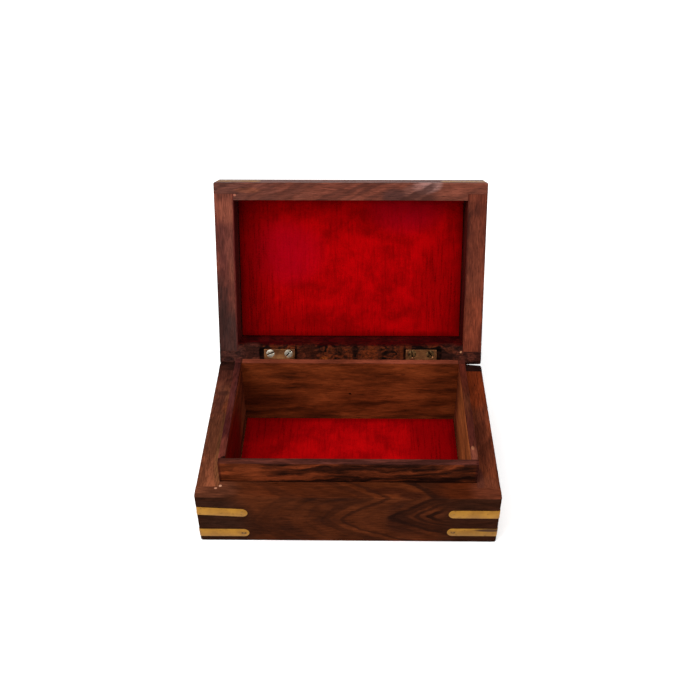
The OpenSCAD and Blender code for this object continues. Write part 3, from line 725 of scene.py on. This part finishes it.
def make_base():
    inner = span("base_left_board")[1].x
    low, high = span("base_front_board")
    front = long_board("front_board", low, high, -inner, TONGUE)
    ease_face(front, low.y, low, high, FOOT, RIM)
    cut_out(front, rebate())
    sand(front, JOINT)
    place(front, "base", "base_front_board", FRONT_WOOD)

    low, high = span("base_back_board")
    back = long_board("back_board", low, high, -inner, TONGUE, back=True)
    ease_face(back, high.y, low, high, FOOT, 0)
    back_bevel(back, high.z, 1, 0.5 * MM, 0.6 * MM, 1.45 * MM)
    cut_out(back, rebate(), *hinge_seats("seat", False))
    sand(back, JOINT)
    place(back, "base", "base_back_board", BACK_WOOD)

    for side, sign, finish in (("left", -1, LEFT_WOOD), ("right", 1, RIGHT_WOOD)):
        low, high = span(f"base_{side}_board")
        board = slab(f"{side}_board", low, high)
        face = low.x if sign < 0 else high.x
        round_edges(board, along("y", x=face, z=low.z), FOOT, 3)
        round_edges(board, along("y", x=face, z=high.z), RIM, 3)
        cut_out(board, rebate())
        sand(board, JOINT)
        place(board, "base", f"base_{side}_board", finish)

    panel = slab("floor_panel", *span("bottom_panel"))
    sand(panel, 0.3 * MM)
    place(panel, "base", "bottom_panel", PANEL_WOOD)


def make_liner():
    for depth, finish in (("front", FRONT_LINER_WOOD), ("back", BACK_LINER_WOOD)):
        low, high = span(f"liner_{depth}")
        board = slab(f"{depth}_liner", low, high)
        if depth == "front":
            round_edges(board, along("x", y=low.y, z=high.z), 0.5 * MM, 3)
        sand(board, LINER_EASE)
        place(board, "base", f"liner_{depth}", finish)
    for side in ("left", "right"):
        low, high = span(f"liner_{side}")
        board = slab(f"{side}_liner", low, high)
        if side == "right":
            plane_off(board, (high.x - 1.2 * MM, low.y, high.z), (0.9, -0.35, 1.0))  # a worn front corner
        sand(board, LINER_EASE)
        place(board, "base", f"liner_{side}", SIDE_LINER_WOOD)
    low, high = span("liner_brad")
    middle = (low + high) / 2
    middle.y -= BRAD_PROUD
    head = rod("brad", middle, (0, 1, 0), (high.x - low.x) / 2, high.y - low.y, 20)
    smooth(head, 50)
    place(head, "base", "liner_brad", BRAD_IRON)


def make_lid():
    inner = shut_span("lid_left_board")[1].x
    low, high = shut_span("lid_front_board")
    front = long_board("lid_front_rail", low, high, -inner, TONGUE - LID_SHIFT, corner=0.5 * MM)
    sand(front, 0.25 * MM)
    place(opened(front), "lid", "lid_front_board", LID_FRONT_WOOD)

    low, high = shut_span("lid_back_board")
    back = long_board("lid_back_rail", low, high, -inner, TONGUE + LID_SHIFT, back=True, corner=CORNER / 2)
    back_bevel(back, low.z, -1, 1.0 * MM, 1.05 * MM, 1.85 * MM)
    cut_out(back, *hinge_seats("lid_seat", True))
    sand(back, JOINT)
    place(opened(back), "lid", "lid_back_board", LID_BACK_WOOD)

    for side, sign, finish in (("left", -1, LID_LEFT_WOOD), ("right", 1, LID_RIGHT_WOOD)):
        low, high = shut_span(f"lid_{side}_board")
        shift = Vector((0, LID_SHIFT, 0))
        board = slab(f"lid_{side}_rail", low - shift, high - shift)
        round_edges(board, along("y", x=low.x if sign < 0 else high.x, z=low.z), RIM, 3)
        sand(board, JOINT)
        place(opened(board), "lid", f"lid_{side}_board", finish)

    low, high = shut_span("lid_top_panel")
    top = slab("lid_top", low, high)
    round_edges(top, along("x", y=(low.y, high.y), z=high.z), LID_ROUND, 6)
    across = slab("lid_top_across", low, high)
    round_edges(across, along("y", x=(low.x, high.x), z=high.z), LID_ROUND / 2, 6)
    upright = slab("lid_top_upright", low, high)
    round_edges(upright, along("z"), CORNER / 2, 5)
    for other in (across, upright):
        apply(top, "BOOLEAN", operation="INTERSECT", solver="EXACT", object=other)
        bpy.data.objects.remove(other)
    sand(top, JOINT, 40)
    place(opened(top), "lid", "lid_top_panel", LID_TOP_WOOD)


# ---------------------------------------------------------------- brass

PROUD, SUNK, BRASS_EASE = 0.11 * MM, 0.85 * MM, 0.12 * MM
PIN_RADIUS, PIN_LENGTH = 0.6 * MM, 4.95 * MM
TILT = 0.058  # in radians, of the strap at the front left that was let in a little askew


def corner_strap():
    """A strap bent round the front left corner at height 0, with round ends."""
    low, high = span("strap_front_left_upper")
    half = (high.z - low.z) / 2
    west, south = low.x + 0.04 * MM, low.y + 0.04 * MM
    depth = PROUD + SUNK
    strap = slab("corner_strap", (west, south, -half), (high.x, south + depth, half))
    edit(strap)
    bpy.ops.mesh.bisect(plane_co=(west + depth, 0, 0), plane_no=(1, 0, 0))
    mark(strap, "FACE", lambda f: f.normal.y > 0.9 and f.calc_center_median().x < west + depth)
    bpy.ops.mesh.extrude_region_move(TRANSFORM_OT_translate={"value": (0, high.y - south - depth, 0)})
    leave()
    round_edges(strap, along("y", x=high.x), half * 0.995, 10)
    round_edges(strap, along("x", y=high.y), half * 0.995, 10)
    round_edges(strap, along("z", x=west, y=south), CORNER + PROUD, 6)
    round_edges(strap, along("z", x=west + depth, y=south + depth), 0.3 * MM, 3)
    ease_edges(strap, BRASS_EASE, 50)
    smooth(strap, 40)
    return strap


def copied(model, name, east, north, height, tilt=0.0):
    """A copy of what was made for the front left corner, at another corner and height. tilt tips its front
    arm a little, about the middle of that arm."""
    piece = twin(model, name)
    piece.scale = (-1 if east else 1, -1 if north else 1, 1)
    middle = -64 * MM
    piece.rotation_euler.y = tilt
    piece.location = (middle * (1 - math.cos(tilt)) + 2.5 * MM * math.sin(tilt), 0, height + middle * math.sin(tilt))
    settle(piece)
    edit(piece)
    bpy.ops.mesh.normals_make_consistent(inside=False)
    leave()
    return piece


def make_straps():
    model = corner_strap()
    for north, depth in ((False, "front"), (True, "back")):
        for east, side in ((False, "left"), (True, "right")):
            for level in ("upper", "lower"):
                node = f"strap_{depth}_{side}_{level}"
                tilt = TILT if (depth, side, level) == ("front", "left", "upper") else 0.0
                piece = copied(model, f"{depth}_{side}_{level}_strap", east, north, middle_height(node), tilt)
                place(piece, "base", node, STRAP_BRASS)
            node = f"lid_strap_{depth}_{side}"
            piece = copied(model, f"{depth}_{side}_lid_strap", east, north, middle_height(node, shut_span))
            place(opened(piece), "lid", node, LID_STRAP_BRASS)
    bpy.data.objects.remove(model)


def rivet(middle, outwards, axis, face):
    """One rivet with the edge of its outer head eased."""
    head = rod("head", middle, outwards, PIN_RADIUS, PIN_LENGTH, 20)
    round_edges(head, lambda a, b: all(abs(abs(end[axis]) - face) < NEAR for end in (a, b)), BRASS_EASE, 2)
    return head


def rivets(name, strap, heights):
    """Flush rivets through both round ends of the straps at every corner. strap holds the corners of one strap."""
    low, high = strap
    inset = (high.z - low.z) / 2
    heads = []
    for east in (1, -1):
        for north in (1, -1):
            for z in heights[(east, north)]:
                heads.append(rivet((east * (high.x - inset), north * (low.y + PIN_LENGTH / 2), z),
                                   (0, -north, 0), 1, abs(low.y)))
                heads.append(rivet((east * (low.x + PIN_LENGTH / 2), north * (high.y - inset), z),
                                   (-east, 0, 0), 0, abs(low.x)))
    clear_selection()
    for head in heads:
        head.select_set(True)
    bpy.context.view_layer.objects.active = heads[0]
    bpy.ops.object.join()
    pins = bpy.context.object
    pins.name = pins.data.name = name
    smooth(pins, 40)
    return pins


def middle_height(node, corners=span):
    return sum(corner.z for corner in corners(node)) / 2


def make_pins():
    heights = {}
    for east, side in ((1, "left"), (-1, "right")):
        for north, depth in ((1, "front"), (-1, "back")):
            heights[(east, north)] = [middle_height(f"strap_{depth}_{side}_{level}") for level in ("upper", "lower")]
    pins = rivets("strap_rivets", span("strap_front_left_upper"), heights)
    place(pins, "base", "base_strap_pins", PIN_BRASS)
    level = middle_height("lid_strap_front_left", shut_span)
    pins = opened(rivets("lid_strap_rivets", shut_span("lid_strap_front_left"), {key: [level] for key in heights}))
    place(pins, "lid", "lid_strap_pins", LID_STRAP_BRASS)


def turn_slots(pair, screws):
    """Mirrors some screws of a pair where they stand, so that their slots lean the other way.
    screws names them, "west" or "east"."""
    across = [v.co.x for v in pair.data.vertices]
    middle = (min(across) + max(across)) / 2
    for screw in screws:
        west = screw == "west"
        mine = [x for x in across if (x < middle) == west]
        edit(pair)
        mark(pair, "FACE", lambda f: (f.calc_center_median().x < middle) == west)
        bpy.ops.transform.resize(value=(-1, 1, 1), center_override=((min(mine) + max(mine)) / 2, 0, 0))
        bpy.ops.mesh.flip_normals()
        leave()


def make_hinges():
    for side in ("left", "right"):
        for half, finish in (("base", HINGE_BRASS), ("lid", LID_HINGE_BRASS)):
            leaf = refined(f"{side}_hinge_{half}_leaf", f"{side}_{half}_leaf", BRASS_EASE)
            place(leaf, half, f"{side}_hinge_{half}_leaf", finish)
        for half, finish in (("base", BASE_STEEL), ("lid", GLINT_STEEL if side == "left" else DULL_STEEL)):
            pair = refined(f"{side}_hinge_{half}_screws", f"{side}_{half}_screws", 0.08 * MM)
            if half == "lid":
                turn_slots(pair, ("east",) if side == "left" else ("west", "east"))
            place(pair, half, f"{side}_hinge_{half}_screws", finish)


# ---------------------------------------------------------------- velvet

CLOTH = 0.42 * MM

def lining(name, low, high, face_up, dents):
    """Velvet laid over card and turned down round its edges, with a slightly uneven face.
    dents is the size of the face's dents."""
    clear_selection()
    down = -1 if face_up else 1
    level = (high.z if face_up else low.z) + down * 0.1 * MM
    middle = (low + high) / 2
    bpy.ops.mesh.primitive_grid_add(x_subdivisions=150, y_subdivisions=100, size=1,
                                    location=(middle.x, middle.y, level))
    cloth = bpy.context.object
    cloth.name = cloth.data.name = name
    cloth.scale = (high.x - low.x, high.y - low.y, 1)
    settle(cloth)
    edit(cloth)
    mark(cloth, "EDGE", lambda e: e.is_boundary)
    for step in range(3):
        bpy.ops.mesh.extrude_edges_move(TRANSFORM_OT_translate={"value": (0, 0, down * CLOTH)})
    bpy.ops.mesh.select_all(action="SELECT")
    bpy.ops.mesh.normals_make_consistent(inside=False)
    leave()
    flat = [f for f in cloth.data.polygons if abs(f.normal.z) > 0.9]
    if flat[0].normal.z * down > 0:
        edit(cloth)
        bpy.ops.mesh.flip_normals()
        leave()
    long_side, short_side = along("x", y=(low.y, high.y), z=level), along("y", x=(low.x, high.x), z=level)
    round_edges(cloth, lambda a, b: long_side(a, b) or short_side(a, b), 0.4 * MM, 3)
    face = cloth.vertex_groups.new(name="face")
    for v in cloth.data.vertices:
        inset = min(v.co.x - low.x, high.x - v.co.x, v.co.y - low.y, high.y - v.co.y)
        if abs(v.co.z - level) < TINY:
            face.add([v.index], max(0.0, min(1.0, inset / (3 * MM))), "REPLACE")
    for kind, size, depth, strength in (("soft", dents, 2, 0.34 * MM), ("pile", 0.0016, 1, 0.10 * MM)):
        clouds = bpy.data.textures.new(f"{name}_{kind}", "CLOUDS")
        clouds.noise_scale = size
        clouds.noise_depth = depth
        apply(cloth, "DISPLACE", texture=clouds, texture_coords="LOCAL", direction="Z", strength=strength,
              mid_level=0.5, vertex_group="face")
    apply(cloth, "SOLIDIFY", thickness=CLOTH * 0.6, offset=-1.0)
    smooth(cloth, 60)
    return cloth


def make_linings():
    low, high = span("base_velvet")
    cloth = lining("base_velvet_sheet", low, high, True, 0.012)
    place(cloth, "base", "base_velvet", BASE_VELVET)
    low, high = shut_span("lid_velvet")
    cloth = opened(lining("lid_velvet_sheet", low, high, False, 0.014))
    place(cloth, "lid", "lid_velvet", LID_VELVET)


def finish_frame_parts():
    """Materials for the parts of the frame that stay as they are."""
    for node, finish in (("base_lining_card", CARD), ("lid_lining_card", CARD),
                         ("left_hinge_pin", PIN_BRASS), ("right_hinge_pin", PIN_BRASS)):
        data = frame["nodes"][node].data
        data.materials.clear()
        data.materials.append(finish)


# ---------------------------------------------------------------- studio

def make_studio():
    clear_selection()
    bpy.ops.mesh.primitive_plane_add(size=6, location=(0, 0, -0.05 * MM))
    floor = bpy.context.object
    floor.name = "studio_floor"
    p = Paint("pale_floor")
    mottle = p.noise(p.place(), 0.01, 2.0)
    pale = p.mix(mottle, (0.93, 0.93, 0.93), (0.95, 0.95, 0.95))
    floor.data.materials.append(p.finish(pale, 0.8, Specular_IOR_Level=0.1, Emission_Color=(1.0, 1.0, 1.0, 1.0),
                                         Emission_Strength=0.1))

    world = bpy.data.worlds.new("studio")
    bpy.context.scene.world = world
    world.use_nodes = True
    background = world.node_tree.nodes["Background"]
    background.inputs["Color"].default_value = (1, 1, 1, 1)
    background.inputs["Strength"].default_value = 0.75

    for name, at, size, power in (("left_softbox", (-0.7, -0.45, 1.0), 0.8, 14.0),
                                  ("top_softbox", (0.25, -0.2, 1.3), 1.0, 9.0)):
        bpy.ops.object.light_add(type="AREA", location=at)
        lamp = bpy.context.object
        lamp.name = name
        lamp.data.shape = "SQUARE"
        lamp.data.size = size
        lamp.data.energy = power
        lamp.rotation_euler = (Vector((0, 0, 0.04)) - Vector(at)).to_track_quat("-Z", "Y").to_euler()


def aim_camera():
    """Looks down at the open box from the front, a little from its right."""
    yaw, pitch, roll = -0.0157, 0.6726, -0.0052
    stand = Vector((6.2, -350.4, 363.5)) * MM
    ahead = Vector((math.sin(yaw) * math.cos(pitch), math.cos(yaw) * math.cos(pitch), -math.sin(pitch)))
    right = Vector((math.cos(yaw), -math.sin(yaw), 0))
    up = right.cross(ahead)
    across = math.cos(roll) * right + math.sin(roll) * up
    upright = -math.sin(roll) * right + math.cos(roll) * up
    data = bpy.data.cameras.new("camera")
    data.lens, data.sensor_width, data.clip_start, data.clip_end = 45.9, 36, 0.01, 20
    camera = bpy.data.objects.new("camera", data)
    bpy.context.scene.collection.objects.link(camera)
    camera.matrix_world = Matrix.Translation(stand) @ Matrix((across, upright, -ahead)).transposed().to_4x4()
    bpy.context.scene.camera = camera


make_studio()
aim_camera()
make_base()
make_liner()
make_lid()
make_straps()
make_pins()
make_hinges()
make_linings()
finish_frame_parts()
bpy.context.scene.view_settings.view_transform = "Standard"
